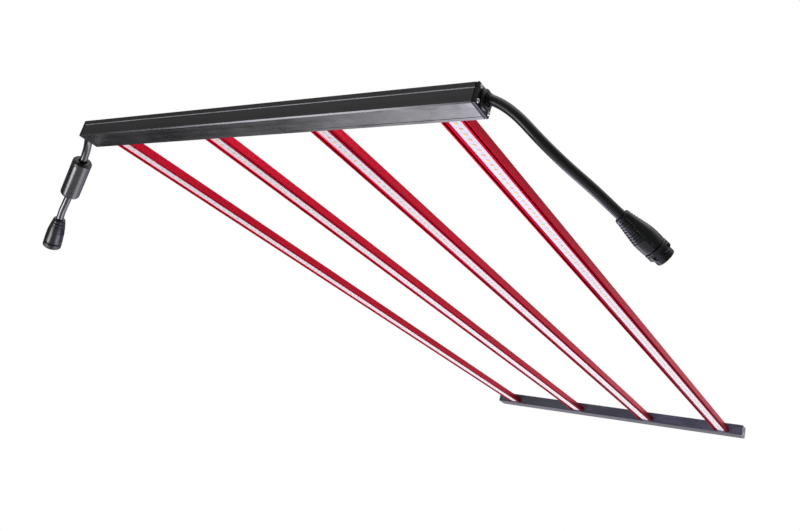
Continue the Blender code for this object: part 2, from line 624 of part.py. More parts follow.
# ------------------------------------------------------------------ left connector
fine_left, _ = smooth_route(LEFT_ROUTE, 400, start=LEFT_EXIT)
left_axis = Vector(fine_left[-1] - fine_left[-6]).normalized()
left_back = Vector(fine_left[-1]) + left_axis * 0.3 * MM
left_frame = along(left_back, left_axis, (0.0, 1.0, 0.0))
turned(
    "connector_left_body",
    [(r * MM, z * MM) for r, z in (
        (0.0, 34.4), (10.7, 34.4), (11.2, 33.9), (11.3, 30.0), (10.9, 24.0), (10.7, 19.0), (10.0, 14.4), (9.15, 10.5), (8.4, 6.7),
        (7.6, 2.9), (7.1, 0.5), (6.6, 0.0), (0.0, 0.0))],
    BLACK_PLASTIC, left_frame, 32,
)
insert_left = turned(
    "connector_left_insert",
    [(r * MM, z * MM) for r, z in (
        (0.0, 41.8), (9.1, 41.8), (9.45, 41.4), (9.45, 40.2), (8.8, 40.0), (8.8, 34.7), (0.0, 34.7))],
    BLACK_PLASTIC, left_frame, 32,
)
for k in range(3):
    a = math.radians(90 + 120 * k)
    hole_x, hole_y = 4.7 * MM * math.cos(a), 4.7 * MM * math.sin(a)
    boolean(insert_left, cylinder(f"cut_socket_{k + 1}", 1.1 * MM, left_frame @ Vector((hole_x, hole_y, 36.4 * MM)),
                                  left_frame @ Vector((hole_x, hole_y, 43.4 * MM)), BLACK_PLASTIC, 10, True))
left_ring_frame = left_frame @ Matrix.Translation((0.0, 0.0, 38.3 * MM))
turned(
    "connector_left_ring",
    [(r * MM, z * MM) for r, z in (
        (10.6, 3.4), (11.3, 2.6), (11.4, -2.8), (11.0, -3.35), (9.2, -3.35), (9.2, 0.8), (9.9, 0.9), (9.9, 3.4))],
    BLACK_PLASTIC, left_ring_frame, 32, True,
)

# ------------------------------------------------------------------ ferrite on the left cord
fine_arc = np.concatenate([[0.0], np.cumsum(np.linalg.norm(np.diff(fine_left, axis=0), axis=1))])
first = int(np.argmin(abs(fine_arc - FERRITE_TOP_ARC)))
last = int(np.argmin(abs(fine_arc - FERRITE_TOP_ARC - FERRITE_LENGTH)))
f_axis = Vector(fine_left[last] - fine_left[first]).normalized()
f_middle = Vector(fine_left[first: last + 1].mean(axis=0))
ferrite_frame = along(f_middle - f_axis * FERRITE_LENGTH / 2, f_axis, (0.0, 1.0, 0.0))
fr, fl = FERRITE_RADIUS / MM, FERRITE_LENGTH / MM
turned(
    "ferrite_shell",
    [(r * MM, z * MM) for r, z in (
        (5.3, fl), (fr - 2.0, fl), (fr - 0.6, fl - 0.5), (fr, fl - 1.8), (fr, 1.8), (fr - 0.6, 0.5), (fr - 1.3, 0.0),
        (9.9, 0.0), (9.9, fl - 3.2), (5.3, fl - 3.2))],
    BLACK_PLASTIC, ferrite_frame, 32, True,
)
turned(
    "ferrite_cap",
    [(r * MM, z * MM) for r, z in ((5.3, 2.8), (9.5, 2.8), (9.5, -0.2), (9.1, -0.7), (5.6, -0.7), (5.3, -0.4))],
    BLACK_PLASTIC, ferrite_frame, 32, True,
)
turned(
    "ferrite_core",
    [(r * MM, z * MM) for r, z in ((5.5, fl - 3.6), (9.5, fl - 3.6), (9.5, 3.2), (5.5, 3.2))],
    DARK_FERRITE, ferrite_frame, 24, True,
)
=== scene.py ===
import math

import bmesh
import bpy
import numpy as np
from mathutils import Matrix, Vector


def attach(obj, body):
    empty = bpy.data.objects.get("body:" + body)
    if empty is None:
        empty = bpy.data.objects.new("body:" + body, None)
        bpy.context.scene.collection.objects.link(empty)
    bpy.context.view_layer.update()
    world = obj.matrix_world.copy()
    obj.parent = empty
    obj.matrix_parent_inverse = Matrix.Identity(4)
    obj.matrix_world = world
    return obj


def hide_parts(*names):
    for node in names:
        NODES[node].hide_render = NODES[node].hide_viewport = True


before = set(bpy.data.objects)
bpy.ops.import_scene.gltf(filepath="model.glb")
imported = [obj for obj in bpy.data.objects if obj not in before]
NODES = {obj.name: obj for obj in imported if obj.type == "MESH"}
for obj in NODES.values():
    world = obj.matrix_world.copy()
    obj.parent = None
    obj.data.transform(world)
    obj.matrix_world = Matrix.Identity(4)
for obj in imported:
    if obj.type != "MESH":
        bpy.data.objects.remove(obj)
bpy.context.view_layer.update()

MM = 0.001
FRAME, RING_R, RING_L = "frame", "lock_ring_right", "lock_ring_left"
scene = bpy.context.scene


# ---------------------------------------------------------------- camera
camera_data = bpy.data.cameras.new("camera")
camera_data.sensor_fit = "HORIZONTAL"
camera_data.sensor_width = 36.0
camera_data.lens = 36.7885
camera_data.clip_start = 0.01
camera_data.clip_end = 60.0
camera = bpy.data.objects.new("camera", camera_data)
scene.collection.objects.link(camera)
camera.matrix_world = Matrix((
    (0.8281285, -0.0367623, 0.5593315, 0.58641),
    (0.5038414, -0.3884886, -0.7715053, -0.50145),
    (0.2456562, 0.9207199, -0.3031961, -0.35643),
    (0.0, 0.0, 0.0, 1.0),
))
scene.camera = camera


# ---------------------------------------------------------------- node helpers
class Tree:
    """A short way to write a material's nodes."""

    def __init__(self, name, tree=None):
        if tree is None:
            self.material = bpy.data.materials.new(name)
            self.material.use_nodes = True
            tree = self.material.node_tree
        self.nodes, self.links = tree.nodes, tree.links
        self.shader = self.nodes.get("Principled BSDF")

    def node(self, kind, **inputs):
        made = self.nodes.new(kind)
        for key, value in inputs.items():
            if hasattr(made, key) and key not in made.inputs:
                setattr(made, key, value)
        return made

    def put(self, socket, value):
        if isinstance(value, bpy.types.NodeSocket):
            self.links.new(value, socket)
        elif isinstance(value, (tuple, list)) and len(value) == 3 and socket.type == "RGBA":
            socket.default_value = (*value, 1.0)
        else:
            socket.default_value = value

    def set(self, **values):
        for key, value in values.items():
            self.put(self.shader.inputs[key.replace("_", " ")], value)

    def math(self, operation, a, b=None, c=None, clamp=False):
        made = self.nodes.new("ShaderNodeMath")
        made.operation = operation
        made.use_clamp = clamp
        for socket, value in zip(made.inputs, (a, b, c)):
            if value is not None:
                self.put(socket, value)
        return made.outputs[0]

    def ramp01(self, value, low, high, to_low=0.0, to_high=1.0, smooth=True):
        made = self.nodes.new("ShaderNodeMapRange")
        made.interpolation_type = "SMOOTHSTEP" if smooth else "LINEAR"
        made.clamp = True
        for socket, given in zip(made.inputs, (value, low, high, to_low, to_high)):
            self.put(socket, given)
        return made.outputs[0]

    def mix(self, factor, a, b, blend="MIX"):
        made = self.nodes.new("ShaderNodeMix")
        made.data_type = "RGBA"
        made.blend_type = blend
        self.put(made.inputs[0], factor)
        self.put(made.inputs[6], a if not isinstance(a, tuple) else (*a, 1.0))
        self.put(made.inputs[7], b if not isinstance(b, tuple) else (*b, 1.0))
        return made.outputs[2]

    def position(self):
        made = self.nodes.new("ShaderNodeTexCoord")
        return made.outputs["Object"]

    def axes(self):
        made = self.nodes.new("ShaderNodeSeparateXYZ")
        self.put(made.inputs[0], self.position())
        return made.outputs

    def mapped(self, scale=(1, 1, 1), rotation=(0, 0, 0)):
        made = self.nodes.new("ShaderNodeMapping")
        self.put(made.inputs["Vector"], self.position())
        made.inputs["Scale"].default_value = scale
        made.inputs["Rotation"].default_value = rotation
        return made.outputs[0]

    def noise(self, vector, scale, detail=4.0, roughness=0.55, distortion=0.0):
        made = self.nodes.new("ShaderNodeTexNoise")
        self.put(made.inputs["Vector"], vector)
        made.inputs["Scale"].default_value = scale
        made.inputs["Detail"].default_value = detail
        made.inputs["Roughness"].default_value = roughness
        made.inputs["Distortion"].default_value = distortion
        return made.outputs[0]

    def bump(self, height, strength, distance, normal=None):
        made = self.nodes.new("ShaderNodeBump")
        made.inputs["Strength"].default_value = strength
        made.inputs["Distance"].default_value = distance
        self.put(made.inputs["Height"], height)
        if normal is not None:
            self.put(made.inputs["Normal"], normal)
        return made.outputs[0]


def ramp_colour(t, value, stops):
    made = t.nodes.new("ShaderNodeValToRGB")
    t.put(made.inputs[0], value)
    ramp = made.color_ramp
    while len(ramp.elements) > 1:
        ramp.elements.remove(ramp.elements[-1])
    for k, (where, colour) in enumerate(stops):
        element = ramp.elements[0] if k == 0 else ramp.elements.new(where)
        element.position = where
        element.color = (*colour, 1.0)
    return made.outputs[0]


# ---------------------------------------------------------------- materials
def anodised_black(name, base, light, rough, spec=0.5, metallic=0.9, edges=None, along=(1.2, 160.0, 160.0), lines_in=0.5):
    """Black anodised extrusion: die lines along its length and slight clouding; the edges function paints more on top,
    painted highlights and painted shade among it.
    """
    t = Tree(name)
    lines = t.noise(t.mapped(along), 1.0, 2.0, 0.5)
    cloud = t.noise(t.mapped((1, 1, 1)), 14.0, 3.0, 0.5)
    fine = t.noise(t.mapped(tuple(v * 3.1 for v in along)), 1.0, 2.0, 0.5)
    tone = t.math("ADD", t.math("MULTIPLY", lines, lines_in), t.math("MULTIPLY", cloud, 1.0 - lines_in))
    colour = t.mix(t.ramp01(tone, 0.35, 0.65), base, light)
    if edges is not None:
        colour = edges(t, colour)
    t.set(Base_Color=colour, Metallic=metallic)
    t.put(t.shader.inputs["Roughness"], t.ramp01(tone, 0.3, 0.7, rough - 0.04, rough + 0.06))
    t.shader.inputs["Specular IOR Level"].default_value = spec
    t.put(t.shader.inputs["Normal"], t.bump(t.math("ADD", lines, t.math("MULTIPLY", fine, 0.4)), 0.12, 0.00006))
    return t.material


def driver_edges(t, colour):
    """Painted shade: the chamfered corner painted darker to tone down its reflection. Painted highlight: a near-white
    line painted along the groove below the top edge. Also faint drawing lines down the front, and a random cloudy tone
    on the underside.
    """
    x, y, z = t.axes()
    # painted shade: mask of the chamfered corner, which is painted darker than the housing so that its reflection is
    # toned down
    chamfer = t.math("MULTIPLY", t.ramp01(y, -0.01236, -0.01225, 1.0, 0.0), t.ramp01(z, -0.01906, -0.01893, 1.0, 0.0))
    front = t.ramp01(y, -0.01280, -0.01270, 1.0, 0.0)
    # painted highlight: mask of the groove below the top edge, which is painted near-white
    lip_painted_light = t.math("MULTIPLY", front, t.math("MULTIPLY", t.ramp01(z, -0.00625, -0.00615, 0.0, 1.0), t.ramp01(z, -0.00525, -0.00515, 1.0, 0.0)))
    draw = t.math("SINE", t.math("MULTIPLY", z, 2.0 * math.pi / 0.0021))
    draw = t.math("MULTIPLY", front, t.ramp01(draw, 0.55, 0.95, 0.0, 0.22))
    # noise that breaks up the painted chamfer shade and the painted groove highlight
    painted_light_breakup = t.ramp01(t.noise(t.mapped((18, 60, 60)), 1.0, 3.0), 0.25, 0.6, 0.7, 1.0)
    colour = t.mix(draw, colour, (0.23, 0.23, 0.24))
    # painted shade on the chamfer
    colour = t.mix(t.math("MULTIPLY", chamfer, painted_light_breakup), colour, (0.095, 0.095, 0.098))
    under = t.ramp01(z, -0.02000, -0.01990, 1.0, 0.0)
    smudge = t.noise(t.mapped((34, 70, 70)), 1.0, 4.0, 0.6)
    colour = t.mix(t.math("MULTIPLY", under, t.ramp01(smudge, 0.50, 0.66, 0.0, 0.75)), colour, (0.185, 0.183, 0.192))
    colour = t.mix(t.math("MULTIPLY", under, t.ramp01(smudge, 0.34, 0.48, 0.75, 0.0)), colour, (0.082, 0.082, 0.086))
    # painted highlight along the groove, mixed in last
    return t.mix(t.math("MULTIPLY", lip_painted_light, painted_light_breakup), colour, (0.95, 0.95, 1.0))


def rail_painted_light(t, colour):
    """Painted reflection: the front face painted a lighter, bluer tone than the underside, bluer towards +x, with
    random darker blots. Painted shade: the other faces painted darker towards +x.
    """
    x, y, z = t.axes()
    front = t.ramp01(y, 1.16495, 1.16505, 1.0, 0.0)
    blots = t.noise(t.mapped((16, 50, 50)), 1.0, 4.0, 0.6)
    # painted reflection: the front face painted lighter and bluer towards +x
    tone = t.mix(t.ramp01(x, -0.20, 0.18), (0.175, 0.190, 0.225), (0.235, 0.222, 0.345))
    tone = t.mix(t.ramp01(blots, 0.38, 0.62, 0.55, 0.0), tone, (0.10, 0.10, 0.125))
    # painted shade: the other faces painted darker towards +x
    colour = t.mix(t.ramp01(x, -0.22, 0.26, 0.0, 0.55), colour, (0.030, 0.027, 0.028))
    return t.mix(front, colour, tone)


MAT_DRIVER = anodised_black("driver_black_anodised", (0.115, 0.115, 0.118), (0.150, 0.150, 0.155), 0.27, edges=driver_edges)
MAT_PLATE = anodised_black("end_plate_black", (0.030, 0.030, 0.031), (0.050, 0.050, 0.053), 0.42, metallic=0.7, along=(40, 40, 40))
MAT_CAP = anodised_black("rail_cap_grey", (0.16, 0.155, 0.19), (0.24, 0.235, 0.28), 0.40, metallic=0.5, along=(40, 40, 40))
MAT_RAIL = anodised_black("rail_black_anodised", (0.070, 0.064, 0.084), (0.095, 0.088, 0.112), 0.38, metallic=0.75, edges=rail_painted_light)


def red_anodised(name):
    """Deep red anodised bar with fine die lines along it. Painted shade: the down-facing lips beside the board
    darkened, the slots painted black, and thin darker stripes in the rib valleys.
    """
    t = Tree(name)
    x, y, z = t.axes()
    # distance from the nearest bar's middle
    shifted = t.math("ADD", x, 0.2168 + 0.0738)
    local = t.math("SUBTRACT", t.math("FLOORED_MODULO", shifted, 0.1476), 0.0738)
    across = t.math("ABSOLUTE", local)
    lines = t.noise(t.mapped((170.0, 0.6, 170.0)), 1.0, 2.0, 0.5)
    cloud = t.noise(t.mapped((1, 1, 1)), 16.0, 3.0, 0.5)
    tone = t.math("ADD", t.math("MULTIPLY", lines, 0.6), t.math("MULTIPLY", cloud, 0.4))
    colour = ramp_colour(t, t.ramp01(tone, 0.3, 0.7), [(0.0, (0.49, 0.006, 0.021)), (0.5, (0.57, 0.009, 0.028)), (1.0, (0.65, 0.013, 0.037))])
    inside = t.math("MULTIPLY", t.ramp01(across, 0.00925, 0.00938), t.ramp01(across, 0.01142, 0.01155, 1.0, 0.0))
    # painted shade: the walls deep in the slots are painted near-black, non-metallic and almost without specular
    painted_slot_shade = t.math("MULTIPLY", t.math("MULTIPLY", inside, t.ramp01(z, -0.01700, -0.01670)), t.ramp01(z, -0.0125, -0.0120, 1.0, 0.0))
    # painted shade: thin darker stripes in the valleys of the ribbed outer sides
    valley = t.math("FLOORED_MODULO", t.math("ADD", z, 0.01715 - 0.0015), 0.00175)
    painted_valley_shade = t.math("MULTIPLY", t.ramp01(across, 0.01335, 0.01345), t.ramp01(valley, 0.0002, 0.0003))
    painted_valley_shade = t.math("MULTIPLY", painted_valley_shade, t.ramp01(valley, 0.0006, 0.0007, 1.0, 0.0))
    colour = t.mix(t.math("MULTIPLY", painted_valley_shade, 0.45), colour, (0.20, 0.004, 0.012))
    # painted shade: the down-facing lips beside the board darkened to hold back the strong light from below
    lip_painted_light = t.math("MULTIPLY", t.ramp01(z, -0.01705, -0.01695, 1.0, 0.0), 0.42)
    colour = t.mix(lip_painted_light, colour, (0.10, 0.0, 0.0))
    # painted shade in the slots
    colour = t.mix(painted_slot_shade, colour, (0.006, 0.001, 0.001))
    t.set(Base_Color=colour, Metallic=t.ramp01(painted_slot_shade, 0.0, 1.0, 0.97, 0.0))
    t.put(t.shader.inputs["Roughness"], t.ramp01(tone, 0.3, 0.7, 0.27, 0.36))
    t.put(t.shader.inputs["Specular IOR Level"], t.ramp01(painted_slot_shade, 0.0, 1.0, 0.5, 0.05))
    t.put(t.shader.inputs["Specular Tint"], t.mix(t.ramp01(z, -0.01705, -0.01695, 1.0, 0.0), (1.0, 0.80, 0.84), (0.95, 0.42, 0.50)))
    t.put(t.shader.inputs["Normal"], t.bump(lines, 0.07, 0.00006))
    return t.material


MAT_RED = red_anodised("bar_red_anodised")


def board_white(name):
    """White solder mask with the copper under it showing as faint grey bands and dashes."""
    t = Tree(name)
    x, y, z = t.axes()
    shifted = t.math("ADD", x, 0.2168 + 0.0738)
    across = t.math("ABSOLUTE", t.math("SUBTRACT", t.math("FLOORED_MODULO", shifted, 0.1476), 0.0738))
    pitch = t.math("FLOORED_MODULO", t.math("ADD", y, -0.01715), 0.0093)
    wave = t.math("ABSOLUTE", t.math("SUBTRACT", pitch, 0.00465))
    rails = t.math("MULTIPLY", t.ramp01(across, 0.00395, 0.00420), t.ramp01(across, 0.00520, 0.00545, 1.0, 0.0))
    dashes = t.math("MULTIPLY", rails, t.ramp01(wave, 0.00240, 0.00290))
    links = t.math("MULTIPLY", t.ramp01(across, 0.00200, 0.00225, 1.0, 0.0), t.ramp01(wave, 0.00330, 0.00360))
    copper = t.math("MAXIMUM", t.math("MULTIPLY", rails, 0.15), t.math("MAXIMUM", t.math("MULTIPLY", dashes, 0.55), t.math("MULTIPLY", links, 0.45)))
    mottled = t.noise(t.mapped((1, 1, 1)), 120.0, 3.0, 0.5)
    colour = t.mix(t.math("MULTIPLY", copper, 0.75), (0.75, 0.745, 0.80), (0.46, 0.46, 0.54))
    colour = t.mix(t.ramp01(mottled, 0.4, 0.7, 0.0, 0.15), colour, (0.69, 0.68, 0.77))
    t.set(Base_Color=colour, Metallic=0.0)
    t.put(t.shader.inputs["Roughness"], t.ramp01(mottled, 0.3, 0.7, 0.34, 0.46))
    t.put(t.shader.inputs["Normal"], t.bump(copper, 0.12, 0.00004))
    return t.material


MAT_BOARD = board_white("board_white_mask")


def speckled(name, dark, light, rough, scale=260.0, bump=0.08, depth=0.00004, metallic=0.0, spec=0.5, coat=0.0, sheen=0.0, rough_var=0.025):
    """Moulded plastic or rubber: slight moulding grain and clouding, uneven gloss."""
    t = Tree(name)
    grain = t.noise(t.mapped((1, 1, 1)), scale, 3.0, 0.5)
    cloud = t.noise(t.mapped((1, 1, 1)), 45.0, 3.0, 0.5, 0.3)
    tone = t.math("ADD", t.math("MULTIPLY", grain, 0.4), t.math("MULTIPLY", cloud, 0.6))
    t.set(Base_Color=t.mix(t.ramp01(tone, 0.34, 0.66), dark, light), Metallic=metallic)
    t.put(t.shader.inputs["Roughness"], t.ramp01(tone, 0.3, 0.7, rough - rough_var, rough + rough_var))
    t.shader.inputs["Specular IOR Level"].default_value = spec
    t.shader.inputs["Coat Weight"].default_value = coat
    t.shader.inputs["Coat Roughness"].default_value = 0.18
    t.shader.inputs["Sheen Weight"].default_value = sheen
    t.put(t.shader.inputs["Normal"], t.bump(grain, bump, depth))
    return t.material


MAT_RUBBER = speckled("rubber_black", (0.006, 0.006, 0.006), (0.013, 0.013, 0.014), 0.55)
MAT_CORD_R = speckled("cord_black_matt", (0.0035, 0.004, 0.003), (0.008, 0.009, 0.007), 0.36, 160.0, 0.05, 0.00004, spec=0.6)
MAT_CORD_L = speckled("cord_black_gloss", (0.003, 0.003, 0.005), (0.007, 0.007, 0.010), 0.17, 160.0, 0.02, 0.00003, spec=0.9, coat=0.6, rough_var=0.01)
MAT_GRIP = speckled("grip_black_plastic", (0.004, 0.005, 0.006), (0.009, 0.010, 0.013), 0.30, 220.0, 0.04, 0.00003, spec=0.55, coat=0.1, rough_var=0.02)
MAT_GLAND = speckled("gland_black_plastic", (0.006, 0.006, 0.007), (0.014, 0.014, 0.016), 0.40, 220.0, 0.08, 0.00004)
MAT_FERRITE = speckled("ferrite_case_plastic", (0.006, 0.006, 0.007), (0.013, 0.013, 0.015), 0.25, 220.0, 0.02, 0.00003, spec=0.9, coat=0.2, rough_var=0.015)
MAT_SOCKET = speckled("socket_black_plastic", (0.003, 0.003, 0.004), (0.009, 0.009, 0.010), 0.40, 220.0, 0.08, 0.00004)
MAT_GREEN = speckled("driver_board_green", (0.012, 0.085, 0.030), (0.03, 0.15, 0.06), 0.45, 300.0, 0.15, 0.00006)
MAT_TAPE = speckled("winding_tape", (0.55, 0.36, 0.06), (0.72, 0.52, 0.14), 0.42, 200.0, 0.1, 0.00006)
MAT_CORE = speckled("ferrite_core_grey", (0.03, 0.03, 0.033), (0.06, 0.06, 0.066), 0.62, 400.0, 0.2, 0.00008)
MAT_SLEEVE = speckled("lead_sleeve_red", (0.30, 0.012, 0.012), (0.45, 0.03, 0.025), 0.45, 300.0, 0.1, 0.00004)
MAT_STEEL = speckled("screw_steel", (0.84, 0.84, 0.86), (0.95, 0.95, 0.97), 0.30, 300.0, 0.08, 0.00003, metallic=0.6, spec=0.9)
MAT_PACKAGE = speckled("chip_package_white", (0.78, 0.77, 0.82), (0.86, 0.85, 0.90), 0.38, 500.0, 0.05, 0.00002)
MAT_PAD = speckled("solder_grey", (0.46, 0.46, 0.54), (0.58, 0.58, 0.66), 0.40, 400.0, 0.1, 0.00003, metallic=0.3)
MAT_PIN = speckled("pin_brass", (0.62, 0.47, 0.20), (0.78, 0.62, 0.30), 0.26, 400.0, 0.05, 0.00002, metallic=1.0)


def phosphor(name, dark, light):
    t = Tree(name)
    grain = t.noise(t.mapped((1, 1, 1)), 500.0, 3.0, 0.6)
    t.set(Base_Color=t.mix(t.ramp01(grain, 0.35, 0.65), dark, light), Roughness=t.ramp01(grain, 0.3, 0.7, 0.30, 0.42))
    t.shader.inputs["Coat Weight"].default_value = 0.1
    t.shader.inputs["Coat Roughness"].default_value = 0.3
    t.put(t.shader.inputs["Normal"], t.bump(grain, 0.05, 0.00002))
    return t.material


MAT_YELLOW = phosphor("phosphor_yellow", (0.98, 0.53, 0.004), (1.0, 0.64, 0.02))
MAT_ORANGE = phosphor("phosphor_orange", (0.98, 0.38, 0.05), (1.0, 0.48, 0.10))


# ---------------------------------------------------------------- mesh helpers
def smooth_route(route, count, start=None):
    knots = np.array(route, dtype=float) * MM
    chord = np.concatenate([[0.0], np.cumsum(np.linalg.norm(np.diff(knots, axis=0), axis=1))])
    n = len(knots)
    system, right = np.zeros((n, n)), np.zeros((n, 3))
    for i in range(1, n - 1):
        before, after = chord[i] - chord[i - 1], chord[i + 1] - chord[i]
        system[i, i - 1], system[i, i], system[i, i + 1] = after, 2 * (before + after), before
        right[i] = 3 * (after * (knots[i] - knots[i - 1]) / before + before * (knots[i + 1] - knots[i]) / after)
    system[0, 0] = 1.0
    right[0] = np.array(start) / np.linalg.norm(start)
    system[n - 1, n - 1], system[n - 1, n - 2] = 2.0, 1.0
    right[n - 1] = 3 * (knots[n - 2] - knots[n - 1]) / (chord[n - 2] - chord[n - 1])
    slopes = np.linalg.solve(system, right)
    fine = []
    for i in range(n - 1):
        span = chord[i + 1] - chord[i]
        for t in np.linspace(0, 1, 40, endpoint=i == n - 2):
            fine.append(
                (2 * t**3 - 3 * t**2 + 1) * knots[i] + (t**3 - 2 * t**2 + t) * span * slopes[i]
                + (-2 * t**3 + 3 * t**2) * knots[i + 1] + (t**3 - t**2) * span * slopes[i + 1]
            )
    fine = np.array(fine)
    arc = np.concatenate([[0.0], np.cumsum(np.linalg.norm(np.diff(fine, axis=0), axis=1))])
    wanted = np.linspace(0, arc[-1], count)
    return np.stack([np.interp(wanted, arc, fine[:, k]) for k in range(3)], axis=1), arc[-1]


def along(origin, direction, up=(0.0, 0.0, 1.0)):
    z = Vector(direction).normalized()
    x = Vector(up).cross(z)
    if x.length < 1e-6:
        x = Vector((1.0, 0.0, 0.0))
    x.normalize()
    y = z.cross(x)
    return Matrix.Translation(Vector(origin)) @ Matrix((x, y, z)).transposed().to_4x4()


def link(name, mesh, materials, body, replaces=(), smooth=35.0):
    obj = bpy.data.objects.new(name, mesh)
    scene.collection.objects.link(obj)
    for m in materials:
        obj.data.materials.append(m)
    if smooth is not None and obj.type == "MESH":
        mesh.shade_smooth()
        mesh.set_sharp_from_angle(angle=math.radians(smooth))
    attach(obj, body)
    if replaces:
        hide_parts(*replaces)
    return obj


def shell(name, rings, around, radius_at, materials, frame_matrix, body, replaces=(), closed_bore=False, smooth=35.0, material_at=None):
    """A turned form whose radius may also change with the angle: rings is a list of (radius, height)."""
    work = bmesh.new()
    rows = []
    for i, (r, h) in enumerate(rings):
        if r <= 1e-9:
            rows.append([work.verts.new((0.0, 0.0, h))])
            continue
        row = []
        for k in range(around):
            a = 2 * math.pi * k / around
            rr = radius_at(i, r, h, a) if radius_at else r
            row.append(work.verts.new((rr * math.cos(a), rr * math.sin(a), h)))
        rows.append(row)
    pairs = list(zip(rows[:-1], rows[1:]))
    if closed_bore:
        pairs.append((rows[-1], rows[0]))
    for upper, lower in pairs:
        if len(upper) == 1 and len(lower) == 1:
            continue
        for k in range(around):
            m = (k + 1) % around
            if len(upper) == 1:
                work.faces.new((upper[0], lower[k], lower[m]))
            elif len(lower) == 1:
                work.faces.new((upper[k], lower[0], upper[m]))
            else:
                work.faces.new((upper[k], lower[k], lower[m], upper[m]))
    bmesh.ops.recalc_face_normals(work, faces=work.faces)
    mesh = bpy.data.meshes.new(name)
    work.to_mesh(mesh)
    work.free()
    mesh.transform(frame_matrix)
    return link(name, mesh, materials, body, replaces, smooth)


def fillet_profile(points, radius=0.35, steps=4):
    """Rounds the corners of a profile of (radius, height) points in millimetres."""
    out = []
    n = len(points)
    for i, p in enumerate(points):
        if i in (0, n - 1):
            out.append(p)
            continue
        a, b, c = np.array(points[i - 1]), np.array(p), np.array(points[i + 1])
        u, v = a - b, c - b
        lu, lv = np.linalg.norm(u), np.linalg.norm(v)
        if lu < 1e-6 or lv < 1e-6:
            out.append(p)
            continue
        cut = min(radius, lu * 0.45, lv * 0.45)
        start, end = b + u / lu * cut, b + v / lv * cut
        for s in range(steps + 1):
            t = s / steps
            out.append(tuple((1 - t) ** 2 * start + 2 * t * (1 - t) * b + t * t * end))
    return [(float(r), float(h)) for r, h in out]


def scaled(points):
    return [(r * MM, h * MM) for r, h in points]


# ---------------------------------------------------------------- cords
RIGHT_EXIT = (0.9272, 0.0083, -0.3745)      # the way the right gland's rubber nose points
RIGHT_ROUTE = [
    (268.6, 0.0, -10.05), (279.65, 0.6, -15.4), (289.85, 2.3, -22.0), (299.15, 5.3, -29.45), (307.65, 9.75, -37.1),
    (315.75, 15.75, -44.15), (323.6, 22.9, -50.35), (330.45, 30.05, -55.3), (337.9, 38.55, -60.15), (345.2, 47.4, -64.6),
    (352.2, 56.45, -69.1), (359.25, 65.3, -73.95), (366.55, 73.75, -79.1),
]
LEFT_EXIT = (-0.762, 0.6476, 0.0)           # the way the left gland's angled barrel points
LEFT_ROUTE = [
    (-273.2, 4.08, -10.05), (-282.85, 12.35, -12.1), (-291.15, 19.25, -17.05), (-299.75, 25.45, -24.4), (-308.4, 30.9, -32.3),
    (-316.5, 35.75, -39.6), (-325.2, 40.9, -47.65), (-333.15, 45.6, -55.15), (-341.7, 50.8, -63.35), (-350.05, 55.7, -71.9),
    (-357.45, 59.75, -80.3), (-364.55, 64.8, -89.8),
]
CORD_RADIUS = 4.55 * MM


def cord(name, route, start, count, mat, replaces):
    points, length = smooth_route(route, count, start)
    lead_in = points[0] + np.array(start) / np.linalg.norm(start) * 1.5 * MM
    points = np.concatenate([[points[0]], [lead_in], points[1:]])
    curve = bpy.data.curves.new(name, "CURVE")
    curve.dimensions = "3D"
    curve.bevel_depth = CORD_RADIUS
    curve.bevel_resolution = 8
    curve.use_fill_caps = True
    curve.resolution_u = 1
    curve.render_resolution_u = 0
    spline = curve.splines.new("POLY")
    spline.points.add(len(points) - 1)
    for point, where in zip(spline.points, points):
        point.co = (*[float(v) for v in where], 1.0)
    spline.use_smooth = True
    obj = bpy.data.objects.new(name, curve)
    scene.collection.objects.link(obj)
    curve.materials.append(mat)
    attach(obj, FRAME)
    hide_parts(replaces)
    return obj, length


lead_right, right_length = cord("lead_right", RIGHT_ROUTE, RIGHT_EXIT, 38, MAT_CORD_R, "cord_right")
lead_left, left_length = cord("lead_left", LEFT_ROUTE, LEFT_EXIT, 38, MAT_CORD_L, "cord_left")

fine_right, _ = smooth_route(RIGHT_ROUTE, 400, RIGHT_EXIT)
right_axis = Vector(fine_right[-1] - fine_right[-6]).normalized()
right_frame = along(Vector(fine_right[-1]) + right_axis * 0.3 * MM, right_axis)
fine_left, _ = smooth_route(LEFT_ROUTE, 400, LEFT_EXIT)
left_axis = Vector(fine_left[-1] - fine_left[-6]).normalized()
left_frame = along(Vector(fine_left[-1]) + left_axis * 0.3 * MM, left_axis, (0.0, 1.0, 0.0))

# ---------------------------------------------------------------- right connector
# the side that carries the grip ribs: towards the camera's lower left, and its opposite
to_side = Vector((-0.35, -0.55, -0.45))
local_side = right_frame.to_3x3().inverted() @ to_side
GRIP_ANGLE = math.atan2(local_side.y, local_side.x)


def angle_off(a, centre):
    return abs((a - centre + math.pi) % (2 * math.pi) - math.pi)


profile = [(0.0, 36.3), (9.8, 36.3), (10.35, 35.8), (10.5, 30.0), (10.45, 24.5), (10.2, 22.1), (9.4, 17.4), (8.6, 12.6), (7.8, 7.9), (7.0, 3.2),
           (6.85, 2.0), (6.6, 0.6), (6.1, 0.0), (0.0, 0.0)]


def dense(points, step=0.25):
    out = [points[0]]
    for a, b in zip(points[:-1], points[1:]):
        n = max(1, int(round(math.hypot(a[0] - b[0], a[1] - b[1]) / step))) if min(a[0], b[0]) > 0.1 else 1
        for k in range(1, n + 1):
            out.append((a[0] + (b[0] - a[0]) * k / n, a[1] + (b[1] - a[1]) * k / n))
    return out


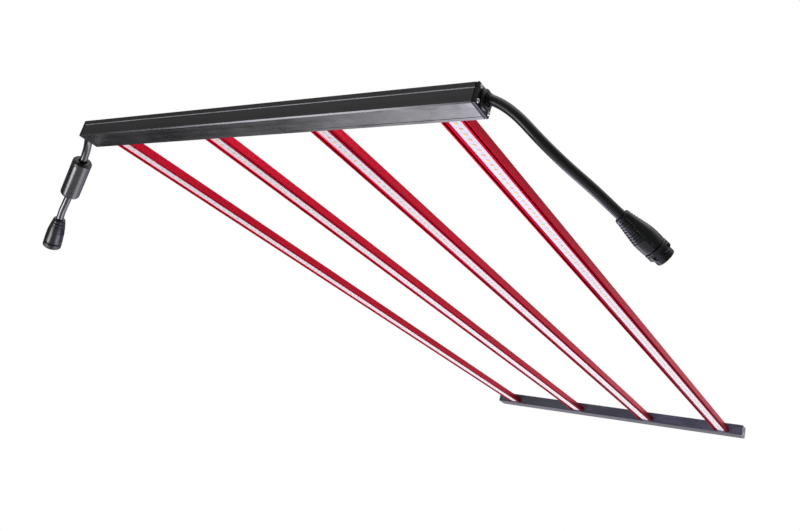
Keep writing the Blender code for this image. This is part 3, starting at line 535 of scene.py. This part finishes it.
def body_radius(i, r, h, a):
    """Transverse slots pressed into two opposite sides of the rear half, and a pointer beside the ring."""
    hm = h / MM
    side = min(angle_off(a, GRIP_ANGLE), angle_off(a, GRIP_ANGLE + math.pi))
    reach = math.radians(58 if hm < 12 else 50)
    fade = max(0.0, min(1.0, (reach - side) / math.radians(5)))
    if 2.6 < hm < 24.6 and fade > 0:
        phase = ((hm - 2.6) % 2.45) / 2.45
        groove = max(0.0, min(1.0, (0.29 - abs(phase - 0.5)) / 0.10))
        return r - 0.85 * MM * groove * fade
    if 30.0 < hm < 34.2 and angle_off(a, GRIP_ANGLE - 0.857) < math.radians(3.4):
        return r - 0.45 * MM
    return r


connector_right = shell("plug_grip_right", scaled(dense(fillet_profile(profile, 0.5, 3))), 112, body_radius, [MAT_GRIP],
                        right_frame, FRAME, ["connector_right_body"])

# nose of the socket: a barrel with key slots, a floor inside and pins
nose_profile = [(0.0, 42.8), (7.1, 42.8), (7.1, 50.2), (8.2, 50.2), (8.55, 49.8), (8.55, 44.9), (7.6, 44.7), (7.6, 36.6), (0.0, 36.6)]


def nose_radius(i, r, h, a):
    hm = h / MM
    if r > 8.05 * MM and hm > 45.6:
        for k, wide in ((0, 13), (1, 8), (2, 8), (3, 8), (4, 8)):
            if angle_off(a, GRIP_ANGLE + 0.35 + k * 2 * math.pi / 5) < math.radians(wide) / 2:
                return r - 0.55 * MM
    return r


socket_nose = shell("socket_nose", scaled(dense(fillet_profile(nose_profile, 0.25, 3), 0.6)), 120, nose_radius, [MAT_SOCKET], right_frame,
                    FRAME, ["connector_right_insert"])

work = bmesh.new()
for k in range(3):
    a = math.radians(90 + 120 * k)
    cx, cy = 4.7 * MM * math.cos(a), 4.7 * MM * math.sin(a)
    rows = []
    for r, h in ((0.0, 48.2), (0.35, 48.1), (0.72, 47.5), (0.80, 46.9), (0.80, 42.75)):
        if r == 0.0:
            rows.append([work.verts.new((cx, cy, h * MM))])
        else:
            rows.append([work.verts.new((cx + r * MM * math.cos(b), cy + r * MM * math.sin(b), h * MM))
                         for b in [2 * math.pi * j / 16 for j in range(16)]])
    for upper, lower in zip(rows[:-1], rows[1:]):
        for j in range(16):
            m = (j + 1) % 16
            if len(upper) == 1:
                work.faces.new((upper[0], lower[j], lower[m]))
            else:
                work.faces.new((upper[j], lower[j], lower[m], upper[m]))
    work.faces.new(list(reversed(rows[-1])))
bmesh.ops.recalc_face_normals(work, faces=work.faces)
mesh = bpy.data.meshes.new("socket_pins")
work.to_mesh(mesh)
work.free()
mesh.transform(right_frame)
socket_pins = link("socket_pins", mesh, [MAT_PIN], FRAME, smooth=40)

ring_profile = [(9.8, 3.85), (10.4, 3.2), (10.4, -3.2), (9.9, -3.75), (8.0, -3.75), (8.0, 3.85)]
ring_frame = right_frame @ Matrix.Translation((0.0, 0.0, 40.6 * MM))


def ring_radius(i, r, h, a):
    """Castellations at the front of the ring, and a smooth band behind them."""
    hm = h / MM
    if r > 9.0 * MM and hm > 0.4:
        phase = (a * 8 / (2 * math.pi)) % 1.0
        gap = max(0.0, min(1.0, (0.22 - abs(phase - 0.5)) / 0.03))
        return r - 1.7 * MM * gap
    if r > 9.0 * MM and -2.9 < hm < -0.6:
        phase = (a * 48 / (2 * math.pi)) % 1.0
        return r - 0.25 * MM * max(0.0, min(1.0, (0.30 - abs(phase - 0.5)) / 0.12))
    return r


ring_right = shell("lock_ring_right_knurled", scaled(dense(fillet_profile(ring_profile + [ring_profile[0]], 0.3, 3), 0.35)[:-1]), 160, ring_radius,
                   [MAT_GRIP], ring_frame, RING_R, ["connector_right_ring"], closed_bore=True)

# ---------------------------------------------------------------- left connector
left_profile = [(0.0, 34.4), (10.6, 34.4), (11.2, 33.8), (11.3, 30.0), (10.9, 24.0), (10.7, 19.0), (10.0, 14.4), (9.3, 10.9), (9.15, 9.6), (8.35, 9.3),
                (8.25, 8.0), (8.75, 7.7), (8.2, 5.0), (7.35, 4.7), (7.25, 3.4), (7.8, 3.1), (7.35, 1.2), (6.9, 0.3), (6.2, 0.0), (0.0, 0.0)]


def left_radius(i, r, h, a):
    """Shallow lengthwise finger hollows on the wide part."""
    hm = h / MM
    if 12.0 < hm < 31.5:
        phase = (a * 5 / (2 * math.pi)) % 1.0
        flat = 0.5 + 0.5 * math.cos(2 * math.pi * (phase - 0.5))
        return r - 0.18 * MM * flat * min(1.0, (hm - 12.0) / 3.0, (31.5 - hm) / 2.0)
    return r


connector_left = shell("plug_grip_left", scaled(dense(fillet_profile(left_profile, 0.35, 3), 0.3)), 96, left_radius, [MAT_GRIP],
                       left_frame, FRAME, ["connector_left_body"])
left_ring_frame = left_frame @ Matrix.Translation((0.0, 0.0, 38.3 * MM))
left_ring_profile = [(10.6, 3.4), (11.3, 2.6), (11.4, -2.8), (11.0, -3.35), (9.2, -3.35), (9.2, 0.8), (9.9, 0.9), (9.9, 3.4)]


def left_ring_radius(i, r, h, a):
    hm = h / MM
    if r > 10.5 * MM and -2.2 < hm < 2.2:
        phase = (a * 24 / (2 * math.pi)) % 1.0
        gap = max(0.0, min(1.0, (0.22 - abs(phase - 0.5)) / 0.08))
        return r - 0.22 * MM * gap
    return r


ring_left = shell("lock_ring_left_knurled", scaled(dense(fillet_profile(left_ring_profile + [left_ring_profile[0]], 0.25, 2), 0.5)[:-1]), 168,
                  left_ring_radius, [MAT_GRIP], left_ring_frame, RING_L, ["connector_left_ring"], closed_bore=True)

# ---------------------------------------------------------------- ferrite
fine_arc = np.concatenate([[0.0], np.cumsum(np.linalg.norm(np.diff(fine_left, axis=0), axis=1))])
FERRITE_LENGTH, FERRITE_TOP = 53.5 * MM, 45.6 * MM
first = int(np.argmin(abs(fine_arc - FERRITE_TOP)))
last = int(np.argmin(abs(fine_arc - FERRITE_TOP - FERRITE_LENGTH)))
f_axis = Vector(fine_left[last] - fine_left[first]).normalized()
f_middle = Vector(fine_left[first: last + 1].mean(axis=0))
ferrite_frame = along(f_middle - f_axis * FERRITE_LENGTH / 2, f_axis, (0.0, 1.0, 0.0))
fl, fr = 53.5, 11.7
seam_dir = ferrite_frame.to_3x3().inverted() @ Vector((0.978, -0.375, -0.228))
SEAM = math.atan2(seam_dir.y, seam_dir.x)


def ferrite_radius(i, r, h, a):
    """A parting line down both sides, catch dimples on it, and two small slots near the top."""
    hm = h / MM
    if r < (fr - 2.6) * MM:
        return r
    off = min(angle_off(a, SEAM), angle_off(a, SEAM + math.pi)) * fr
    depth = 0.04 * max(0.0, min(1.0, (0.34 - off) / 0.15))
    for where, aside in ((13.0, 0.05), (42.0, 0.10), (3.4, 0.80), (3.4, 0.58), (50.6, 0.75)):
        distance = math.hypot(angle_off(a, SEAM + aside) * fr, hm - where)
        depth = max(depth, 0.8 * max(0.0, min(1.0, (1.0 - distance) / 0.3)))
    return r - depth * MM


ferrite_profile = [(5.3, fl), (fr - 2.0, fl), (fr - 0.6, fl - 0.5), (fr, fl - 1.8), (fr, 1.8), (fr - 0.6, 0.5), (fr - 1.3, 0.0), (9.9, 0.0),
                   (9.9, fl - 3.2), (5.3, fl - 3.2)]
ferrite_case = shell("ferrite_case", scaled(dense(fillet_profile(ferrite_profile + [ferrite_profile[0]], 0.6, 3), 0.45)[:-1]), 160, ferrite_radius,
                     [MAT_FERRITE], ferrite_frame, FRAME, ["ferrite_shell"], closed_bore=True)

# ---------------------------------------------------------------- screws
def cross_head(name, at, direction, radius, height, replaces, turn=0.4):
    """A pan head with a cross recess, and its shank."""
    work = bmesh.new()
    around, rows = 48, []
    rings = [0.0, 0.10, 0.2, 0.3, 0.4, 0.5, 0.6, 0.7, 0.8, 0.88, 0.95, 1.0]
    for q in rings:
        dome = height * (1.0 - 0.16 * q**2 - 0.34 * max(0.0, q - 0.78) / 0.22)
        if q == 0.0:
            rows.append([work.verts.new((0, 0, dome - height * 0.55))])
            continue
        row = []
        for k in range(around):
            a = 2 * math.pi * k / around
            x, y = radius * q * math.cos(a - turn), radius * q * math.sin(a - turn)
            inside = min(max(abs(x) / (0.17 * radius), abs(y) / (0.66 * radius)), max(abs(y) / (0.17 * radius), abs(x) / (0.66 * radius)))
            sink = height * 0.55 * max(0.0, min(1.0, (1.25 - inside) / 0.3))
            row.append(work.verts.new((radius * q * math.cos(a), radius * q * math.sin(a), dome - sink)))
        rows.append(row)
    for r, h in ((1.0, 0.0), (0.5, 0.0), (0.5, -0.004 / height * height)):
        rows.append([work.verts.new((radius * r * math.cos(2 * math.pi * k / around), radius * r * math.sin(2 * math.pi * k / around), h)) for k in range(around)])
    for upper, lower in zip(rows[:-1], rows[1:]):
        for k in range(around):
            m = (k + 1) % around
            if len(upper) == 1:
                work.faces.new((upper[0], lower[k], lower[m]))
            else:
                work.faces.new((upper[k], lower[k], lower[m], upper[m]))
    work.faces.new(list(reversed(rows[-1])))
    bmesh.ops.recalc_face_normals(work, faces=work.faces)
    mesh = bpy.data.meshes.new(name)
    work.to_mesh(mesh)
    work.free()
    mesh.transform(along(at, direction))
    return link(name, mesh, [MAT_STEEL], FRAME, replaces, 50)


HALF = 262.5 * MM
ports = [(y, z) for y in (-10.0, 10.0) for z in (-16.7, -3.4)]
for side, sign in (("left", -1.0), ("right", 1.0)):
    for k, (y, z) in enumerate(ports):
        cross_head(f"screw_{side}_{k + 1}", (sign * (HALF + 0.25 * MM), y * MM, z * MM), (sign, 0, 0), 1.9 * MM, 1.3 * MM,
                   [f"end_screw_{side}_{k + 1}"], 0.3 + 0.5 * k)
    x_out = 4.6 * MM + sign * 519.4 * MM / 2
    cross_head(f"rail_screw_{side}", (x_out + sign * 0.25 * MM, (1164.9 + 8.0) * MM, (-20.1 + 4.6) * MM), (sign, 0, 0), 2.1 * MM, 1.3 * MM,
               [f"rail_cap_screw_{side}"], 0.9)
for i in range(4):
    x = (4.6 + (i - 1.5) * 147.6) * MM
    cross_head(f"bar_bolt_{i + 1}", (x, (1164.9 + 29.0 + 0.25) * MM, -11.5 * MM), (0, 1, 0), 2.6 * MM, 1.5 * MM, [f"rail_bolt_{i + 1}"], 0.2 + 0.6 * i)

# ---------------------------------------------------------------- light chips
BOARD_FACE = (-17.15 + 0.7) * MM
CHIP_PITCH, CHIP_FIRST, CHIP_COUNT = 9.3 * MM, 21.8 * MM, 122


def add_block(work, low, high, material, bevel=0.0):
    """A block on the board, without its hidden top, narrowed at its lower face."""
    (x0, y0, z0), (x1, y1, z1) = low, high
    b = bevel
    top = [work.verts.new(p) for p in ((x0, y0, z1), (x1, y0, z1), (x1, y1, z1), (x0, y1, z1))]
    bottom = [work.verts.new(p) for p in ((x0 + b, y0 + b, z0), (x1 - b, y0 + b, z0), (x1 - b, y1 - b, z0), (x0 + b, y1 - b, z0))]
    faces = [work.faces.new(tuple(reversed(bottom))), work.faces.new(tuple(top))]
    for k in range(4):
        m = (k + 1) % 4
        faces.append(work.faces.new((top[k], bottom[k], bottom[m], top[m])))
    for f in faces:
        f.material_index = material
        f.smooth = False
    return faces


for i in range(4):
    x = (4.6 + (i - 1.5) * 147.6) * MM
    work = bmesh.new()
    pads = bmesh.new()
    for k in range(CHIP_COUNT):
        y = CHIP_FIRST + CHIP_PITCH * k
        add_block(work, (x - 1.95 * MM, y - 1.62 * MM, BOARD_FACE - 0.35 * MM), (x + 1.95 * MM, y + 1.62 * MM, BOARD_FACE + 0.02 * MM), 0, 0.12 * MM)
        add_block(work, (x - 1.75 * MM, y - 1.45 * MM, BOARD_FACE - 0.42 * MM), (x + 1.75 * MM, y + 1.45 * MM, BOARD_FACE - 0.30 * MM), 2 if k % 5 in (1, 3) else 1, 0.10 * MM)
        if k + 1 < CHIP_COUNT:
            middle = y + CHIP_PITCH / 2
            for dx, dy, wx, wy in ((-4.55, -1.9, 0.45, 0.28), (4.55, 1.9, 0.45, 0.28), (-3.1, 1.4, 0.25, 0.25), (3.1, -1.4, 0.25, 0.25)):
                add_block(pads, (x + (dx - wx) * MM, middle + (dy - wy) * MM, BOARD_FACE - 0.10 * MM),
                          (x + (dx + wx) * MM, middle + (dy + wy) * MM, BOARD_FACE + 0.02 * MM), 0, 0.05 * MM)
    for name, mesh_work, mats in ((f"light_chips_{i + 1}", work, [MAT_PACKAGE, MAT_YELLOW, MAT_ORANGE]), (f"solder_pads_{i + 1}", pads, [MAT_PAD])):
        bmesh.ops.recalc_face_normals(mesh_work, faces=mesh_work.faces)
        mesh = bpy.data.meshes.new(name)
        mesh_work.to_mesh(mesh)
        mesh_work.free()
        link(name, mesh, mats, FRAME, smooth=None)

# ---------------------------------------------------------------- materials of the CAD nodes that stay
for name in NODES:
    obj = bpy.data.objects.get(name)
    if obj is None:
        continue
    chosen = None
    if name == "driver_housing":
        chosen = MAT_DRIVER
    elif name.startswith("end_plate"):
        chosen = MAT_PLATE
    elif name.startswith("cross_rail"):
        chosen = MAT_RAIL
    elif name.startswith("rail_cap_screw") or name.startswith(("end_screw", "driver_bolt", "rail_bolt")):
        chosen = MAT_STEEL
    elif name.startswith("rail_cap"):
        chosen = MAT_CAP
    elif name.startswith("bar_heatsink"):
        chosen = MAT_RED
    elif name.startswith("led_board"):
        chosen = MAT_BOARD
    elif name.startswith(("end_gasket", "bar_seal", "gland_seal", "cord_")):
        chosen = MAT_RUBBER
    elif name.startswith("gland"):
        chosen = MAT_GLAND
    elif name == "driver_board":
        chosen = MAT_GREEN
    elif name == "driver_transformer":
        chosen = MAT_TAPE
    elif name == "ferrite_core":
        chosen = MAT_CORE
    elif name.startswith("bar_lead"):
        chosen = MAT_SLEEVE
    else:
        chosen = MAT_SOCKET
    for s in obj.material_slots:
        s.material = chosen

# ---------------------------------------------------------------- floor, world and lights
floor_mesh = bpy.data.meshes.new("floor")
work = bmesh.new()
bmesh.ops.create_circle(work, cap_ends=True, segments=96, radius=1.7)
work.to_mesh(floor_mesh)
work.free()
floor = bpy.data.objects.new("floor", floor_mesh)
floor.location = (0.1, 0.55, -1.5)
scene.collection.objects.link(floor)
t = Tree("floor_pale")
soft = t.noise(t.mapped((1, 1, 1)), 3.0, 3.0)
t.set(Base_Color=t.mix(t.ramp01(soft, 0.3, 0.7), (0.86, 0.86, 0.87), (0.90, 0.90, 0.91)), Roughness=0.9)
floor_mesh.materials.append(t.material)

world = bpy.data.worlds.new("studio")
scene.world = world
world.use_nodes = True
w = Tree("world", world.node_tree)
for n in list(w.nodes):
    w.nodes.remove(n)
out = w.nodes.new("ShaderNodeOutputWorld")
coords = w.nodes.new("ShaderNodeTexCoord")
split = w.nodes.new("ShaderNodeSeparateXYZ")
w.links.new(coords.outputs["Generated"], split.inputs[0])
wx, wy, wz = split.outputs
overhead = w.math("MULTIPLY", w.ramp01(wz, 0.70, 0.97), 1.3)
right = w.math("MULTIPLY", w.math("MULTIPLY", w.ramp01(wx, 0.05, 0.5), w.ramp01(wz, -0.10, 0.20)), w.math("MULTIPLY", w.ramp01(wy, -0.2, 0.3), 0.6))
low_back = w.math("MULTIPLY", w.math("MULTIPLY", w.ramp01(wz, -0.02, 0.12, 1.0, 0.0), w.ramp01(wy, 0.55, 0.8)), w.math("MULTIPLY", w.ramp01(wx, -0.68, -0.50, 0.0, 0.75), w.ramp01(wx, -0.05, 0.20, 1.0, 0.05)))
low_left = w.math("MULTIPLY", w.ramp01(wz, -0.20, -0.08, 1.0, 0.0), w.ramp01(wx, -0.66, -0.52, -0.10, 0.0))
far_right = w.math("MULTIPLY", w.math("MULTIPLY", w.ramp01(wx, 0.05, 0.25), w.ramp01(wz, 0.05, 0.18)), w.ramp01(wy, 0.82, 0.95, 0.0, 1.0))
right = w.math("ADD", right, far_right)
front_fill = w.math("MULTIPLY", w.ramp01(wy, -0.66, -0.52, 1.0, 0.0), w.math("MULTIPLY", w.ramp01(wz, 0.28, 0.42), w.ramp01(wx, -0.56, -0.46, 0.15, 0.07)))
level = w.math("ADD", w.math("ADD", 0.15, w.math("ADD", low_left, front_fill)), w.math("ADD", overhead, w.math("ADD", right, low_back)))
paths = w.nodes.new("ShaderNodeLightPath")
strength = w.math("ADD", w.math("MULTIPLY", paths.outputs["Is Camera Ray"], 1.0),
                  w.math("MULTIPLY", w.math("SUBTRACT", 1.0, paths.outputs["Is Camera Ray"]), level))
background = w.nodes.new("ShaderNodeBackground")
tinted = w.math("MULTIPLY", w.math("MULTIPLY", w.ramp01(wz, -0.18, -0.10), w.ramp01(wz, 0.10, 0.20, 1.0, 0.0)), w.ramp01(wy, 0.40, 0.60))
tinted = w.math("MULTIPLY", tinted, w.math("SUBTRACT", 1.0, paths.outputs["Is Camera Ray"]))
w.links.new(w.mix(tinted, (1.0, 1.0, 1.0), (0.84, 0.74, 1.16)), background.inputs["Color"])
w.links.new(strength, background.inputs["Strength"])
w.links.new(background.outputs[0], out.inputs["Surface"])


def area(name, at, towards, size, power, colour=(1, 1, 1), size_y=None):
    data = bpy.data.lights.new(name, "AREA")
    data.shape = "RECTANGLE" if size_y else "SQUARE"
    data.size = size
    if size_y:
        data.size_y = size_y
    data.energy = power
    data.color = colour
    obj = bpy.data.objects.new(name, data)
    scene.collection.objects.link(obj)
    obj.location = at
    obj.rotation_mode = "QUATERNION"
    obj.rotation_quaternion = (Vector(towards) - Vector(at)).to_track_quat("-Z", "Y")
    obj.visible_camera = False
    return obj


area("under_key", (-0.18, 1.15, -0.84), (-0.18, 1.15, 0.0), 1.54, 10.3, (0.99, 0.97, 1.02), 1.2)
area("key_below", (0.20, 0.50, -0.80), (-0.30, 0.05, -0.05), 0.36, 1.8, (0.80, 0.70, 1.08))
area("left_front_low", (-0.66, -0.56, -0.70), (-0.33, 0.045, -0.06), 0.44, 5.5, (0.93, 0.95, 1.0))
area("cord_low", (0.175, 0.165, -0.215), (0.37, 0.08, -0.08), 0.10, 0.17, (0.78, 0.70, 1.05))

scene.view_settings.view_transform = "Standard"
